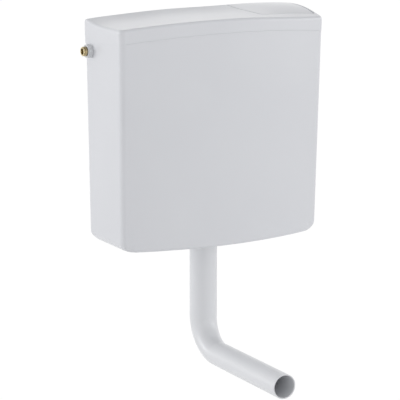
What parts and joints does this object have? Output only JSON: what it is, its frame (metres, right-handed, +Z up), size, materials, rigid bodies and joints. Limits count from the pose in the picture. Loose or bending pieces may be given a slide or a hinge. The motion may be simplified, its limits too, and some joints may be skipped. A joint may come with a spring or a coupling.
{
  "type": "toilet cistern",
  "caption": "Wall-hung bow-fronted plastic cistern with a large flush key in its lid, a side inlet with float valve, a lifting flush valve and a flush bend.",
  "frame": {"origin": "on the wall face of the tank, midway between the two wall holes", "axes": "+Y into the wall, +X to the right seen from the front, +Z up"},
  "size_m": [0.4282, 0.345, 0.6428],
  "materials": {
    "cistern_plastic": "soft gloss, moulded",
    "pipe_plastic": "soft gloss, extruded",
    "fitting_plastic": "satin, moulded",
    "lever_plastic": "satin, moulded",
    "valve_plastic": "satin, moulded",
    "float_plastic": "satin, blow moulded",
    "filter_plastic": "fine mesh",
    "brass": "turned",
    "steel": "drawn",
    "spring_steel": "drawn wire",
    "rubber": "smooth",
    "foam": "expanded foam beads"
  },
  "bodies": {
    "tank_body": {"tank": "cistern_plastic", "insulation_liner": "foam", "outlet_base": "fitting_plastic", "base_seal": "rubber", "back_nut": "fitting_plastic", "pipe_nut": "fitting_plastic", "pipe_seal": "rubber", "flush_bend": "pipe_plastic", "valve_basket": "fitting_plastic", "bridge": "fitting_plastic", "lever_pin": "steel", "return_spring": "spring_steel", "inlet_nipple": "brass", "inlet_nut": "fitting_plastic", "inlet_seal": "rubber", "inlet_filter": "filter_plastic", "plug_washer": "rubber", "blanking_plug": "fitting_plastic", "float_valve_body": "fitting_plastic", "down_tube": "fitting_plastic", "diaphragm": "rubber", "valve_cap": "fitting_plastic", "arm_pin": "steel"},
    "lid_body": {"lid": "cistern_plastic", "key_pins": "steel"},
    "key_body": {"flush_key": "cistern_plastic", "push_stud": "steel", "stud_nut": "fitting_plastic"},
    "lever_body": {"rocker_lever": "lever_plastic"},
    "lift_body": {"lift_tube": "valve_plastic", "valve_disc": "valve_plastic", "valve_seal": "rubber", "valve_float": "valve_plastic", "lift_hook": "lever_plastic"},
    "float_body": {"float_arm": "fitting_plastic", "float_block": "float_plastic", "float_rod": "brass", "rod_nut": "fitting_plastic"},
    "plunger_body": {"plunger": "fitting_plastic"}
  },
  "joints": [
    {"name": "lid_lift", "type": "slide", "parent": "tank_body", "child": "lid_body", "axis": [0, 0, 1], "range_m": [0, 0.12]},
    {"name": "key_press", "type": "hinge", "parent": "lid_body", "child": "key_body", "pos_m": [0.137, -0.014, 0.087], "axis": [1, 0, 0], "range_deg": [0, 7], "stiffness_Nm_per_rad": 1, "springref_deg": -5.73},
    {"name": "lever_rock", "type": "hinge", "parent": "tank_body", "child": "lever_body", "pos_m": [0.072, -0.06, 0.04], "axis": [0, 1, 0], "range_deg": [0, 11.4], "deforming": ["return_spring"]},
    {"name": "tube_lift", "type": "slide", "parent": "tank_body", "child": "lift_body", "axis": [0, 0, 1], "range_m": [0, 0.0142]},
    {"name": "float_drop", "type": "hinge", "parent": "tank_body", "child": "float_body", "pos_m": [-0.13929, -0.02, 0.031], "axis": [0, 1, 0], "range_deg": [0, 20]},
    {"name": "plunger_slide", "type": "slide", "parent": "tank_body", "child": "plunger_body", "axis": [1, 0, 0], "range_m": [0, 0.00121]}
  ],
  "couplings": [
    {"joint": "lever_rock", "follows": "key_press", "ratio": 1.596},
    {"joint": "tube_lift", "follows": "key_press", "m_per_rad": 0.1142},
    {"joint": "plunger_slide", "follows": "float_drop", "m_per_rad": 0.00344}
  ]
}
